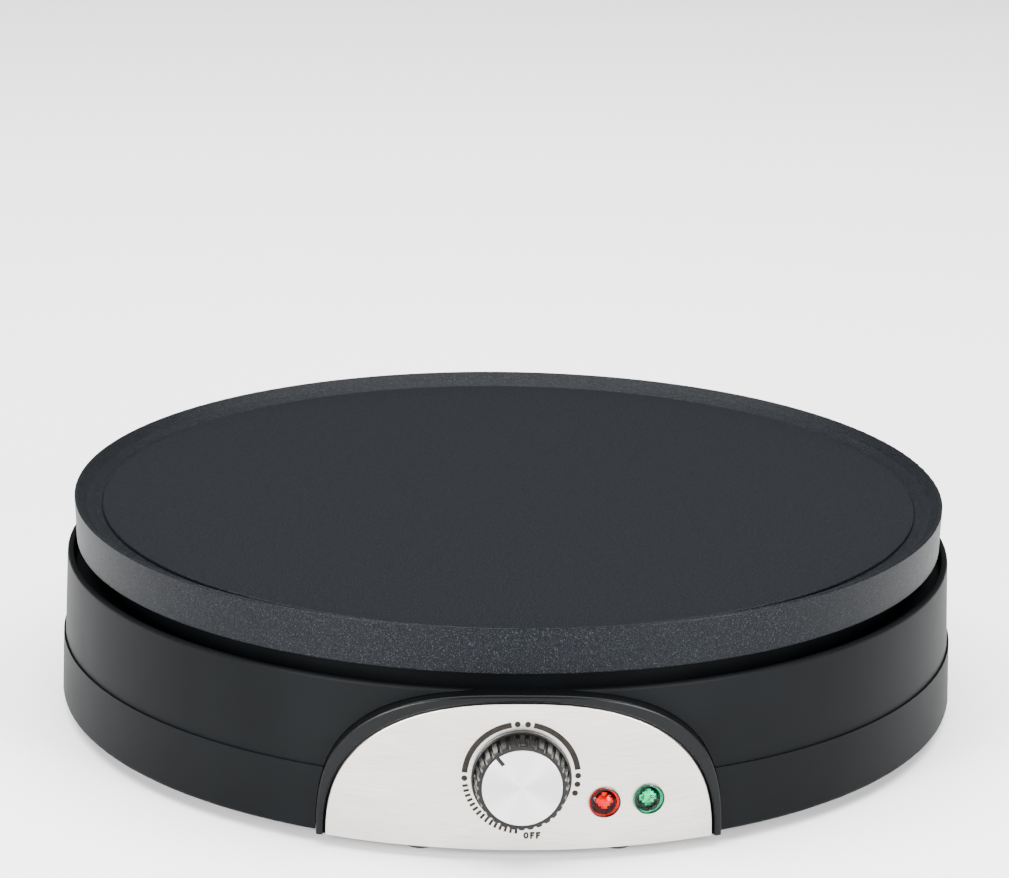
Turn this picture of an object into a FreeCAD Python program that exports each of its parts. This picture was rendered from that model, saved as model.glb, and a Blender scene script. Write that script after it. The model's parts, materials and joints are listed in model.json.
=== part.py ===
import FreeCAD, Part

import math
import os

# Round electric griddle (crepe maker), millimetres.
# +Z is up, the table is z = 0, the plate's axis is the Z axis and the control panel faces -Y.

V = FreeCAD.Vector

# ---- Overall sizes ----
plate_r = 150.0             # rim of the cooking plate
base_bottom_out = 5.3       # how far each edge of the base stands out past the plate's rim
base_seam_out = 4.6
upper_seam_out = 3.9
upper_lip_out = 2.7
foot_h = 4.2                # height the feet lift the base
lower_h = 21.5              # lower housing, bottom to seam
upper_h = 29.4              # upper housing, seam to lip
plate_gap = 4.3             # from the upper housing's lip up to the plate's skirt

# ---- Clearances ----
running = 0.05              # radial, turning shafts
slip = 0.1                  # radial, screws and bushes in their holes
window_gap = 0.2            # bezel in the housing window
seam_gap = 0.3              # spigot inside the upper housing
contact_gap = 0.05          # round pieces lying on flat faces
window_past_wall = 0.7      # how far the window is cut past a wall's inner face

# ---- Walls ----
shell_t = 3.0
floor_t = 2.5
deck_t = 2.5
deck_drop = 5.0             # deck below the lip
baffle_in = 9.5             # ring on the deck that hides the inside, in from the plate's rim
baffle_t = 2.0
baffle_below_skirt = 2.0
lip_t = 2.3
spigot_t = 2.0
spigot_h = 3.0

# ---- Cooking plate ----
recess_depth = 3.2
plate_t = 5.0
rim_flat = 1.1
rim_wall_in = 4.0           # foot of the rim's slope, in from the rim
rim_wall_drop = 2.6
groove_in = 7.4             # groove's outer edge, in from the rim
cook_in = 9.4               # cooking surface's edge, in from the rim
groove_depth = 1.0
skirt_h = 15.1
skirt_draft = 0.55
skirt_t = 3.2

# ---- Heating element ----
element_in = 58.0           # middle of the heated ring, in from the plate's rim
element_tube_r = 3.5
element_tip_x = 19.1        # half of the open part of the ring
element_bend_r = 9.0
element_tail_h = 12.0
rib_t = 2.0
rib_gap = 1.2               # from the tube to each rib
pin_r = 1.5
pin_out = 8.0
deck_hole_out = 20.0        # edge of the deck's hole, out from the heated ring
clamp_screw_out = 14.0      # clamp screws, either side of the heated ring
tail_collar_h = 3.0
tail_collar_drop = 2.5
tail_collar_t = 1.3
tail_flange_t = 3.2

# ---- Screws ----
screw_r = 1.95
screw_head_r = 3.6
screw_head_h = 2.4
small_screw_r = 1.4
small_head_r = 2.6
small_head_h = 1.8
clamp_screw_l = 7.0
clip_screw_l = 6.0
housing_screw_l = 20.0
boss_r = 6.0
small_boss_r = 4.5
spacer_r = 5.0
plate_boss_out = 28.0       # plate bosses, out from the heated ring
plate_boss_h = 6.2
housing_screw_in = 12.0     # in from the plate's rim

# ---- Heat shield ----
shield_t = 0.6
shield_flange_out = 40.0    # out from the heated ring
shield_dish_out = 12.0
shield_slope = 2.0
shield_depth = 8.0

# ---- Control panel and bezel ----
panel_out = 1.0             # panel's face, out from the base's bottom edge
panel_t = 0.8
panel_half_w = 60.7
panel_power = 2.32
panel_sink = 0.3            # panel and bezel reach this far below the housing bottom
groove_w = 0.7
bezel_border = 3.0          # bezel past the panel's edge
bezel_over_lip = 0.2
bezel_power = 2.65
bezel_proud = 0.9           # bezel's crest, out from the panel's face
bezel_wall_t = 2.0
bezel_skirt_in = 1.8        # bezel's back, in from the housing's inner face
pad_border = 2.0
bezel_edge_round = 0.8
panel_edge_round = 0.3
hook_reach = 2.8
hook_h = 5.0
hook_t = 3.0

# ---- Knob ----
knob_z_above_base = 23.9
knob_flange_r = 15.6
knob_flange_t = 1.3
knob_grip_r = 15.0
knob_front_r = 14.05
knob_h = 8.3
knob_panel_gap = 0.5
knob_front_t = 1.0
flute_count = 30
flute_r = 0.75
cap_r = 12.45
cap_t = 0.9
cap_gap = 0.1
pointer_deg = 128.0         # seen from the front, counter-clockwise from +X
pointer_w = 1.2
pointer_l = 3.0
hollow_r = 11.2
hub_r = 5.0
hub_from = 3.0
knob_web_t = 1.6
spindle_r = 3.0
spindle_flat = 1.8          # distance of the flat from the axis
collar_r = 4.5
collar_t = 1.4

# ---- Thermostat ----
thermo_half_w = 16.0
thermo_half_h = 12.0
thermo_depth = 22.5
bush_r = 5.0
bush_out = 2.6
nut_flats = 14.0
nut_t = 1.9
washer_r = 7.5
washer_t = 0.5
tab_w = 6.3
tab_t = 0.8
tab_l = 8.0
tab_x = 8.5

# ---- Bulb under the plate ----
bulb_r = 3.0
bulb_l = 60.0
bulb_start_in = 36.0        # bulb's front end, in from the heated ring
bulb_screw_x = 9.0
capillary_r = 0.9
strip_t = 0.8
strip_w = 8.0

# ---- Indicator lamps ----
lamp_z_above_base = 14.95
red_x = 25.8
green_x = 39.7
lens_r = 4.85
lens_neck_r = 3.8
lens_neck_l = 8.3
lens_brim_t = 0.8
lens_dome_h = 1.7
sleeve_r = 4.9
sleeve_l = 17.0
retainer_r = 6.3
retainer_t = 0.5
neon_r = 2.6
neon_l = 9.0

# ---- Feet ----
foot_r = 5.0
foot_in = 10.5              # in from the base's bottom edge
foot_half_deg = 12.3
foot_stem_r = 2.5
foot_barb_r = 3.3
foot_barb_h = 2.2

# ---- Rear inlet and wiring ----
gland_z_above_base = 10.0
gland_bore_r = 3.4
gland_neck_r = 5.5
gland_flange_r = 8.5
gland_flange_t = 2.0
gland_collar_l = 4.5
gland_inner_l = 5.0
gland_lip = 0.8
block_half_w = 15.0
block_l = 14.0
block_h = 11.0
block_y = 92.0
block_stand = 3.0
block_wire_h = 6.5
terminal_xs = [-10.0, 0.0, 10.0]
block_screw_xs = [-5.0, 5.0]
lead_r = 1.1
fuse_r = 2.4
fuse_l = 16.0
fuse_x = -30.0

vent_in_r = 52.0
vent_out_r = 82.0
vent_r = 1.5
vent_step_deg = 10

# ---- Earth point on the heat shield ----
earth_in = 22.0             # in from the heated ring
earth_deg = 70.0
earth_tag_t = 0.6
earth_tag_l = 12.0

# ---- Radii worked out from the sizes above ----
base_bottom_r = plate_r + base_bottom_out
base_seam_r = plate_r + base_seam_out
upper_seam_r = plate_r + upper_seam_out
upper_lip_r = plate_r + upper_lip_out
rim_wall_r = plate_r - rim_wall_in
groove_out_r = plate_r - groove_in
cook_r = plate_r - cook_in
baffle_r = plate_r - baffle_in
housing_screw_ring_r = plate_r - housing_screw_in
foot_ring_r = base_bottom_r - foot_in
element_ring_r = plate_r - element_in
deck_hole_r = element_ring_r + deck_hole_out
plate_boss_ring_r = element_ring_r + plate_boss_out
shield_flange_r = element_ring_r + shield_flange_out
shield_dish_r = element_ring_r + shield_dish_out
earth_ring_r = element_ring_r - earth_in
element_gap_deg = math.degrees(math.asin(element_tip_x / element_ring_r))
panel_face_r = base_bottom_r + panel_out
bezel_face_r = panel_face_r - panel_t
bezel_wall_r = bezel_face_r - bezel_wall_t
bezel_crest_r = panel_face_r + bezel_proud
bezel_skirt_r = base_bottom_r - shell_t - bezel_skirt_in
spigot_out_r = upper_seam_r - shell_t - seam_gap
spigot_in_r = spigot_out_r - spigot_t

# ---- Widths and heights worked out from the sizes above ----
bezel_half_w = panel_half_w + bezel_border
bezel_h = lower_h + upper_h + panel_sink + bezel_over_lip
panel_h = bezel_h - bezel_border
base_z = foot_h
floor_z = base_z + floor_t
seam_z = base_z + lower_h
lip_z = seam_z + upper_h
deck_z = lip_z - deck_drop
skirt_z = lip_z + plate_gap
rim_z = skirt_z + skirt_h
cook_z = rim_z - recess_depth
under_z = cook_z - plate_t
knob_z = base_z + knob_z_above_base
lamp_z = base_z + lamp_z_above_base
gland_z = base_z + gland_z_above_base
panel_z = base_z - panel_sink
element_z = under_z - element_tube_r - contact_gap
strip_z = element_z - element_tube_r - contact_gap
bulb_z = under_z - bulb_r - contact_gap
bulb_strip_z = bulb_z - bulb_r - contact_gap
boss_z = under_z - plate_boss_h
dish_z = deck_z + shield_t - shield_depth
pad_y = -bezel_skirt_r
bulb_start_y = bulb_start_in - element_ring_r

CORNERS = [45.0, 135.0, 225.0, 315.0]
QUARTERS = [0.0, 90.0, 180.0, 270.0]
CLAMP_DEGREES = [30.0, 150.0, 210.0, 330.0, 90.0]
OUTER = 400.0               # larger than the object, for cutting and trimming
DRILL = 60.0                # longer than any wall that is drilled from the side


# ---- Helpers ----
def box(x0, x1, y0, y1, z0, z1):
    return Part.makeBox(x1 - x0, y1 - y0, z1 - z0, V(x0, y0, z0))


def rod(r, z0, z1, x=0.0, y=0.0):
    return Part.makeCylinder(r, z1 - z0, V(x, y, z0))


def ring(r_in, r_out, z0, z1, x=0.0, y=0.0):
    return rod(r_out, z0, z1, x, y).cut(rod(r_in, z0 - 1, z1 + 1, x, y))


def polar(r, degrees, z=0.0):
    a = math.radians(degrees)
    return V(r * math.cos(a), r * math.sin(a), z)


def turned(shape, degrees, centre=V(0, 0, 0), axis=V(0, 0, 1)):
    copy = shape.copy()
    copy.rotate(centre, axis, degrees)
    return copy


def moved(shape, x, y, z):
    copy = shape.copy()
    copy.translate(V(x, y, z))
    return copy


def fused(shapes):
    whole = shapes[0]
    if len(shapes) > 1:
        whole = shapes[0].multiFuse(shapes[1:])
    return whole.removeSplitter()


def cut_all(shape, tools):
    return shape.cut(Part.makeCompound(tools)) if len(tools) == 1 else shape.cut(fused(tools))


def revolved(points):
    """A closed outline of (radius, height) pairs, turned about the Z axis."""
    corners = [V(r, 0, z) for r, z in points]
    wire = Part.makePolygon(corners + corners[:1])
    return Part.Face(wire).revolve(V(0, 0, 0), V(0, 0, 1), 360)


def circle_edges(shape, radius, z):
    found = []
    for edge in shape.Edges:
        curve = edge.Curve
        if not isinstance(curve, Part.Circle):
            continue
        if abs(curve.Radius - radius) < 1e-3 and abs(curve.Center.z - z) < 1e-3:
            found.append(edge)
    return found


def rounded(shape, radius, places):
    """Fillet the circular edges at each (radius, height) place."""
    edges = []
    for r, z in places:
        edges += circle_edges(shape, r, z)
    return shape.makeFillet(radius, edges)


def eased(r, z, radius, quarter, steps=3):
    """Points that ease a corner of an outline, from a direction given in right angles."""
    cx = r - radius if quarter in (0, 3) else r + radius
    cz = z - radius if quarter in (0, 1) else z + radius
    points = []
    for i in range(steps + 1):
        a = math.radians(90 * quarter + 90 * i / steps)
        points.append((cx + radius * math.cos(a), cz + radius * math.sin(a)))
    return points


def to_front(shape, x=0.0, y=0.0, z=0.0):
    """Turn a shape built on Z so that its Z points to -Y and its Y points up, then place it."""
    return moved(turned(shape, 90, V(0, 0, 0), V(1, 0, 0)), x, y, z)


def around_to(shape, x):
    """Turn a shape that stands at the panel's middle so that it stands at x, square to the panel."""
    return turned(shape, math.degrees(math.asin(x / panel_face_r)))


def arch_prism(half_w, height, power, grow=0.0):
    """A D shape with its flat side down, standing on the panel's bottom, run along -Y."""
    a = half_w + grow
    b = height + grow
    points = []
    steps = 36
    for i in range(steps + 1):
        t = math.pi * i / steps
        c = math.cos(t)
        s = math.sin(t)
        x = a * math.copysign(abs(c) ** (2 / power), c)
        h = b * s ** (2 / power)
        points.append(V(x, 0, panel_z + h))
    points[0] = V(a, 0, panel_z)
    points[-1] = V(-a, 0, panel_z)
    curve = Part.BSplineCurve()
    curve.interpolate(points)
    top = curve.toShape()
    low_right = V(a, 0, panel_z - grow)
    low_left = V(-a, 0, panel_z - grow)
    if grow > 0:
        sides = [Part.makeLine(points[-1], low_left), Part.makeLine(low_left, low_right),
                 Part.makeLine(low_right, points[0])]
    else:
        sides = [Part.makeLine(points[-1], points[0])]
    return Part.Face(Part.Wire([top] + sides)).extrude(V(0, -OUTER, 0))


def edges_on_face(shape, radius, tall):
    """The edges that lie on an upright cylinder about the plate's axis and rise at least so far."""
    found = []
    for edge in shape.Edges:
        reach = [math.hypot(v.X, v.Y) for v in edge.Vertexes]
        if max(abs(r - radius) for r in reach) < 1e-3 and edge.BoundBox.ZLength > tall:
            found.append(edge)
    return found


def band(r_in, r_out):
    return ring(r_in, r_out, -OUTER, OUTER)


def route(points):
    """Straight runs joined by the largest tangent arcs that suit both runs."""
    edges = []
    start = points[0]
    for before, corner, after in zip(points, points[1:], points[2:]):
        u = before.sub(corner)
        w = after.sub(corner)
        shorter = min(u.Length, w.Length)
        u.normalize()
        w.normalize()
        trim = 0.45 * shorter
        p = corner.add(V(u).multiply(trim))
        q = corner.add(V(w).multiply(trim))
        half = u.getAngle(w) / 2
        reach = trim / math.cos(half)
        bisector = u.add(w).normalize()
        radius = trim * math.tan(half)
        middle = corner.add(V(bisector).multiply(reach - radius))
        edges.append(Part.makeLine(start, p))
        edges.append(Part.Arc(p, middle, q).toShape())
        start = q
    edges.append(Part.makeLine(start, points[-1]))
    return Part.Wire(edges)


def swept(wire, radius, start, direction):
    circle = Part.Wire(Part.makeCircle(radius, start, direction))
    return wire.makePipeShell([circle], True, True)


def tube_along(points, radius):
    return swept(route(points), radius, points[0], points[1].sub(points[0]))


def screw(r, length, head_r, head_h):
    """A pan-head screw along +Z, its head's seat at z = 0 and its head below, with a cross recess."""
    body = fused([rod(r, -head_h / 2, length), rod(head_r, -head_h, 0)])
    slot = head_r * 0.25
    arm = head_r * 0.6
    bottom = -head_h - 1
    top = -head_h * 0.5
    cross = fused([box(-slot, slot, -arm, arm, bottom, top), box(-arm, arm, -slot, slot, bottom, top)])
    return body.cut(cross)


def save(name, shape):
    shape.exportStep(os.path.join("parts", name + ".step"))


# ---- Cooking plate and what hangs under it ----
def clip_boss_places():
    """Bosses either side of the element ring, one pair for each clamp."""
    places = []
    for degrees in CLAMP_DEGREES:
        for r in (element_ring_r - clamp_screw_out, element_ring_r + clamp_screw_out):
            places.append(polar(r, degrees))
    return places


def bulb_boss_places():
    y = bulb_start_y + bulb_l / 2
    return [V(-bulb_screw_x, y, 0), V(bulb_screw_x, y, 0)]


def griddle_plate():
    groove_z = cook_z - groove_depth
    bottom_r = plate_r - skirt_draft
    rim_in_r = plate_r - rim_flat
    body = revolved([
        (0, under_z), (bottom_r - skirt_t, under_z), (bottom_r - skirt_t, skirt_z), (bottom_r, skirt_z),
        (plate_r, rim_z), (rim_in_r, rim_z), (rim_wall_r, rim_z - rim_wall_drop), (groove_out_r, groove_z),
        (cook_r, groove_z), (cook_r, cook_z), (0, cook_z)])
    body = rounded(body, 0.7, [(cook_r, cook_z)])
    body = rounded(body, 0.5, [(rim_in_r, rim_z), (plate_r, rim_z), (bottom_r, skirt_z)])
    rib_in = element_ring_r - element_tube_r - rib_gap
    rib_out = element_ring_r + element_tube_r + rib_gap
    overlap_z = under_z + 1
    additions = [ring(rib_in - rib_t, rib_in, element_z, overlap_z),
                 ring(rib_out, rib_out + rib_t, element_z, overlap_z)]
    for degrees in QUARTERS:
        p = polar(plate_boss_ring_r, degrees)
        additions.append(rod(boss_r, boss_z, overlap_z, p.x, p.y))
    for p in clip_boss_places():
        additions.append(rod(small_boss_r, strip_z, overlap_z, p.x, p.y))
    for p in bulb_boss_places():
        additions.append(rod(small_boss_r, bulb_strip_z, overlap_z, p.x, p.y))
    body = fused([body] + additions)
    holes = []
    for degrees in QUARTERS:
        p = polar(plate_boss_ring_r, degrees)
        holes.append(rod(screw_r + contact_gap, boss_z - 1, under_z + plate_t / 2, p.x, p.y))
    for p in clip_boss_places():
        holes.append(rod(small_screw_r + contact_gap, strip_z - 1, under_z + plate_t / 2, p.x, p.y))
    for p in bulb_boss_places():
        holes.append(rod(small_screw_r + contact_gap, bulb_strip_z - 1, under_z + plate_t / 2, p.x, p.y))
    return cut_all(body, holes)


def element_end(side):
    """Where the heated ring's tube ends, pointing down: side is -1 or +1 in X."""
    tip = polar(element_ring_r, 270 + side * element_gap_deg)
    along = polar(1, 270 + side * (element_gap_deg - 90))
    return V(tip.x + along.x * element_bend_r, tip.y + along.y * element_bend_r, element_z - element_bend_r)


def heating_element():
    tips = {}
    for side in (1, -1):
        degrees = 270 + side * element_gap_deg
        tip = polar(element_ring_r, degrees, element_z)
        along = polar(1, 270 + side * (element_gap_deg - 90))
        quarter = math.radians(45)
        middle = V(tip.x + along.x * element_bend_r * math.sin(quarter),
                   tip.y + along.y * element_bend_r * math.sin(quarter),
                   element_z - element_bend_r * (1 - math.cos(quarter)))
        end = element_end(side)
        bottom = V(end.x, end.y, end.z - element_tail_h)
        tips[side] = (tip, Part.Arc(tip, middle, end).toShape(), Part.makeLine(end, bottom), bottom)
    loop = Part.Arc(tips[1][0], polar(element_ring_r, 90, element_z), tips[-1][0]).toShape()
    edges = [tips[1][2], tips[1][1], loop, tips[-1][1], tips[-1][2]]
    wire = Part.Wire(Part.__sortEdges__(edges))
    return swept(wire, element_tube_r, tips[1][3], V(0, 0, 1))


def element_pins():
    pins = []
    for side in (1, -1):
        end = element_end(side)
        bottom = end.z - element_tail_h
        pins.append(rod(pin_r, bottom - pin_out, bottom, end.x, end.y))
    return Part.makeCompound(pins)


def terminal_bushings():
    """Ceramic collars that hold the element's two tails in the heat shield."""
    collars = []
    for side in (1, -1):
        end = element_end(side)
        inner = element_tube_r + slip
        top = dish_z + tail_collar_h
        neck = ring(inner, inner + tail_collar_t, dish_z - tail_collar_drop, top, end.x, end.y)
        flange = ring(inner, inner + tail_flange_t, dish_z + shield_t, top, end.x, end.y)
        collars.append(fused([neck, flange]))
    return Part.makeCompound(collars)


def element_clamps():
    clamps = []
    reach = clamp_screw_out + strip_w / 2
    for degrees in CLAMP_DEGREES:
        strip = box(element_ring_r - reach, element_ring_r + reach, -strip_w / 2, strip_w / 2,
                    strip_z - strip_t, strip_z)
        holes = [rod(small_screw_r + slip, strip_z - 2, strip_z + 1, element_ring_r + side * clamp_screw_out)
                 for side in (-1, 1)]
        clamps.append(turned(cut_all(strip, holes), degrees))
    return Part.makeCompound(clamps)


def element_clamp_screws():
    pieces = []
    for p in clip_boss_places():
        one = screw(small_screw_r, clamp_screw_l, small_head_r, small_head_h)
        pieces.append(moved(one, p.x, p.y, strip_z - strip_t))
    return Part.makeCompound(pieces)


def sensing_bulb():
    bulb = Part.makeCylinder(bulb_r, bulb_l, V(0, bulb_start_y, bulb_z), V(0, 1, 0))
    return bulb.makeFillet(0.8, bulb.Edges[:1] + bulb.Edges[-1:])


def bulb_clip():
    y = bulb_start_y + bulb_l / 2
    reach = bulb_screw_x + strip_w / 2
    strip = box(-reach, reach, y - strip_w / 2, y + strip_w / 2, bulb_strip_z - strip_t, bulb_strip_z)
    holes = [rod(small_screw_r + slip, bulb_strip_z - 2, bulb_strip_z + 1, p.x, p.y)
             for p in bulb_boss_places()]
    return cut_all(strip, holes)


def bulb_clip_screws():
    pieces = []
    for p in bulb_boss_places():
        one = screw(small_screw_r, clip_screw_l, small_head_r, small_head_h)
        pieces.append(moved(one, p.x, p.y, bulb_strip_z - strip_t))
    return Part.makeCompound(pieces)


def capillary_points():
    back_y = pad_y + thermo_depth
    z = knob_z + thermo_half_h / 2
    rise_y = -(shield_dish_r + 6)
    under_element_z = strip_z - 7
    return [V(0, back_y, z), V(0, rise_y, z), V(0, rise_y, under_element_z),
            V(0, bulb_start_y - 12, under_element_z), V(0, bulb_start_y - 12, bulb_z),
            V(0, bulb_start_y, bulb_z)]


def capillary_tube():
    return tube_along(capillary_points(), capillary_r)


def plate_spacers():
    hole = screw_r + slip
    return Part.makeCompound([
        ring(hole, spacer_r, deck_z + shield_t, boss_z, polar(plate_boss_ring_r, d).x,
             polar(plate_boss_ring_r, d).y) for d in QUARTERS])


def plate_screws():
    seat = deck_z - deck_t
    length = under_z - seat
    one = screw(screw_r, length, screw_head_r, screw_head_h)
    places = [polar(plate_boss_ring_r, d) for d in QUARTERS]
    return Part.makeCompound([moved(one, p.x, p.y, seat) for p in places])


def heat_shield():
    top = deck_z + shield_t
    wall_r = shield_dish_r + shield_slope
    shell = revolved([
        (0, dish_z), (shield_dish_r, dish_z), (wall_r, deck_z), (shield_flange_r, deck_z),
        (shield_flange_r, top), (wall_r - shield_t, top), (shield_dish_r - shield_t, dish_z + shield_t),
        (0, dish_z + shield_t)])
    holes = []
    for degrees in QUARTERS:
        p = polar(plate_boss_ring_r, degrees)
        holes.append(rod(screw_r + slip, deck_z - 1, top + 1, p.x, p.y))
    for side in (1, -1):
        end = element_end(side)
        holes.append(rod(element_tube_r + slip + tail_collar_t + slip, dish_z - 1, dish_z + 2, end.x, end.y))
    holes.append(tube_along(capillary_points(), capillary_r + 0.8))
    earth = earth_place()
    holes.append(rod(small_screw_r + slip, dish_z - 1, dish_z + 2, earth.x, earth.y))
    return cut_all(shell, holes)


# ---- Housings ----
def upper_wall_r(z):
    """Inner face of the upper housing's wall at a height."""
    share = (z - seam_z) / upper_h
    return upper_seam_r + (upper_lip_r - upper_seam_r) * share - shell_t


def lower_wall_r(z):
    share = (z - base_z) / lower_h
    return base_bottom_r + (base_seam_r - base_bottom_r) * share - shell_t


def upper_housing():
    under_deck = deck_z - deck_t
    shell = revolved([
        (upper_seam_r - shell_t, seam_z), (upper_seam_r, seam_z),
        *eased(upper_lip_r, lip_z, 0.9, 0), *eased(upper_lip_r - lip_t, lip_z, 0.6, 1),
        (upper_lip_r - lip_t - 0.5, deck_z), (deck_hole_r, deck_z),
        (deck_hole_r, under_deck), (upper_wall_r(under_deck), under_deck)])
    bosses = [ring(baffle_r - baffle_t, baffle_r, deck_z - 1, skirt_z - baffle_below_skirt)]
    holes = [front_window(upper_lip_r - shell_t - window_past_wall, -OUTER)]
    for degrees in CORNERS:
        p = polar(housing_screw_ring_r, degrees)
        bosses.append(rod(boss_r, seam_z + seam_gap, deck_z - 1, p.x, p.y))
        holes.append(rod(screw_r + contact_gap, seam_z - 1, seam_z + 16, p.x, p.y))
    for degrees in QUARTERS:
        p = polar(plate_boss_ring_r, degrees)
        holes.append(rod(screw_r + slip, under_deck - 1, deck_z + 1, p.x, p.y))
    return cut_all(fused([shell] + bosses), holes)


def front_window(r_in, from_z):
    """What the housings leave out for the bezel, from a radius outward and above a height."""
    hole = arch_prism(bezel_half_w, bezel_h, bezel_power, window_gap).common(ring(r_in, OUTER, -OUTER, OUTER))
    return hole.common(box(-OUTER, OUTER, -OUTER, 0, from_z, OUTER))


def vents():
    """Slots through the floor, in two fans."""
    slot = fused([box(vent_in_r, vent_out_r, -vent_r, vent_r, base_z - 1, floor_z + 1),
                  rod(vent_r, base_z - 1, floor_z + 1, vent_in_r),
                  rod(vent_r, base_z - 1, floor_z + 1, vent_out_r)])
    slots = []
    for step in range(-3, 4):
        for side in (0, 180):
            slots.append(turned(slot, step * vent_step_deg + side))
    return slots


def foot_places():
    return [polar(foot_ring_r, q + s * foot_half_deg) for q in QUARTERS for s in (-1, 1)]


def lower_housing():
    ledge_z = seam_z - 4
    spigot_z = seam_z + spigot_h
    shell = revolved([
        (0, base_z), *eased(base_bottom_r, base_z, 1.2, 3), (base_seam_r, seam_z), (spigot_out_r, seam_z),
        (spigot_out_r, spigot_z), (spigot_in_r, spigot_z), (spigot_in_r, ledge_z),
        (lower_wall_r(ledge_z - 3), ledge_z - 3), (lower_wall_r(floor_z), floor_z), (0, floor_z)])
    columns = []
    holes = [front_window(bezel_skirt_r - window_gap, -OUTER),
             front_window(spigot_in_r - window_past_wall, floor_z + 5)]
    for degrees in CORNERS:
        p = polar(housing_screw_ring_r, degrees)
        columns.append(rod(boss_r + 1, floor_z - 1, seam_z, p.x, p.y))
        holes.append(rod(screw_head_r + 0.6, base_z - 1, seam_z - 6, p.x, p.y))
        holes.append(rod(screw_r + slip, seam_z - 7, seam_z + 1, p.x, p.y))
    for x in block_screw_xs:
        columns.append(rod(small_boss_r - 0.5, floor_z - 1, floor_z + block_stand, x, block_y))
        holes.append(rod(small_screw_r + contact_gap, floor_z, floor_z + block_stand + 1, x, block_y))
    for p in foot_places():
        holes.append(rod(foot_stem_r + slip, base_z - 1, floor_z + 1, p.x, p.y))
    drill_from = V(0, base_bottom_r - DRILL / 2, gland_z)
    holes.append(Part.makeCylinder(gland_neck_r + slip, DRILL, drill_from, V(0, 1, 0)))
    return cut_all(fused([shell] + columns), holes + vents())


def housing_screws():
    seat = seam_z - 6
    one = screw(screw_r, housing_screw_l, screw_head_r, screw_head_h)
    places = [polar(housing_screw_ring_r, d) for d in CORNERS]
    return Part.makeCompound([moved(one, p.x, p.y, seat) for p in places])


def rubber_feet():
    pad = rod(foot_r, 0, base_z)
    pad = pad.makeFillet(0.8, circle_edges(pad, foot_r, 0))
    barb_z = floor_z + contact_gap
    barb = Part.makeCone(foot_barb_r, foot_stem_r - 0.6, foot_barb_h, V(0, 0, barb_z))
    one = fused([pad, rod(foot_stem_r, base_z - 1, barb_z + 0.5), barb])
    return Part.makeCompound([moved(one, p.x, p.y, 0) for p in foot_places()])


# ---- Front panel ----
def panel_bezel():
    outer = arch_prism(bezel_half_w, bezel_h, bezel_power)
    inner = arch_prism(panel_half_w, panel_h, panel_power, groove_w)
    crest = outer.cut(inner).common(band(bezel_face_r - 1, bezel_crest_r))
    crest = crest.makeFillet(bezel_edge_round, edges_on_face(crest, bezel_crest_r, bezel_h / 2))
    skirt = outer.cut(inner).common(band(bezel_skirt_r, bezel_face_r - 0.5))
    wall = outer.common(band(bezel_wall_r, bezel_face_r))
    low = outer.common(band(bezel_skirt_r, bezel_face_r)).common(
        box(-OUTER, OUTER, -OUTER, 0, panel_z, panel_z + bezel_wall_t))
    pad_w = thermo_half_w + pad_border
    pad_h = thermo_half_h + pad_border
    pad = box(-pad_w, pad_w, -bezel_face_r + 1, pad_y, knob_z - pad_h, knob_z + pad_h).common(
        band(0, bezel_face_r - 0.5))
    grown = arch_prism(bezel_half_w, bezel_h, bezel_power, hook_reach).cut(inner)
    hooks = []
    upper_level = seam_z + spigot_h + 2 * seam_gap
    lower_level = floor_z + 3
    for level, wall_at in ((upper_level, upper_wall_r), (lower_level, lower_wall_r)):
        wall_r = wall_at(level + hook_h)
        catch = grown.common(band(bezel_skirt_r - hook_t, wall_r - seam_gap))
        stem = outer.cut(inner).common(band(bezel_skirt_r - hook_t, bezel_skirt_r + 1))
        hooks.append(fused([catch, stem]).common(box(-OUTER, OUTER, -OUTER, 0, level, level + hook_h)))
    whole = fused([crest, skirt, wall, low, pad] + hooks)
    holes = [front_hole(bush_r + slip, 0, knob_z)]
    holes += [front_hole(lens_neck_r + slip, x, lamp_z) for x in (red_x, green_x)]
    return cut_all(whole, holes)


def front_hole(r, x, z):
    """A drill square to the panel at x, from well inside to well outside."""
    drill = Part.makeCylinder(r, DRILL, V(0, DRILL / 2 - panel_face_r, z), V(0, -1, 0))
    return around_to(drill, x)


def control_panel():
    sheet = arch_prism(panel_half_w, panel_h, panel_power).common(band(bezel_face_r, panel_face_r))
    holes = [front_hole(bush_r + slip, 0, knob_z)]
    holes += [front_hole(lens_neck_r + slip, x, lamp_z) for x in (red_x, green_x)]
    sheet = sheet.makeFillet(panel_edge_round, edges_on_face(sheet, panel_face_r, panel_h / 2))
    return cut_all(sheet, holes)


# ---- Thermostat ----
def thermostat_body():
    back_y = pad_y + thermo_depth
    case = box(-thermo_half_w, thermo_half_w, pad_y, back_y, knob_z - thermo_half_h, knob_z + thermo_half_h)
    case = case.makeFillet(1.5, [e for e in case.Edges if e.BoundBox.YLength > thermo_depth - 1])
    collar_room = Part.makeCylinder(collar_r + slip, collar_t + slip, V(0, pad_y, knob_z), V(0, 1, 0))
    bore = Part.makeCylinder(spindle_r + running, 9, V(0, pad_y - 1, knob_z), V(0, 1, 0))
    return cut_all(case, [collar_room, bore])


def thermostat_bush():
    front_y = panel_face_r + bush_out
    neck = Part.makeCylinder(bush_r, front_y + pad_y, V(0, pad_y, knob_z), V(0, -1, 0))
    bore = Part.makeCylinder(spindle_r + running, DRILL, V(0, pad_y + DRILL / 2, knob_z), V(0, -1, 0))
    grooves = []
    level = panel_face_r + 0.5
    while level < front_y - 0.4:
        groove = Part.makeTorus(bush_r + 0.15, 0.35, V(0, -level, knob_z), V(0, 1, 0))
        grooves.append(groove)
        level += 0.9
    return cut_all(neck, [bore] + grooves)


def hexagon(flats, height):
    corners = [polar(flats / math.sqrt(3), 60 * i) for i in range(7)]
    return Part.Face(Part.makePolygon(corners)).extrude(V(0, 0, height))


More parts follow.
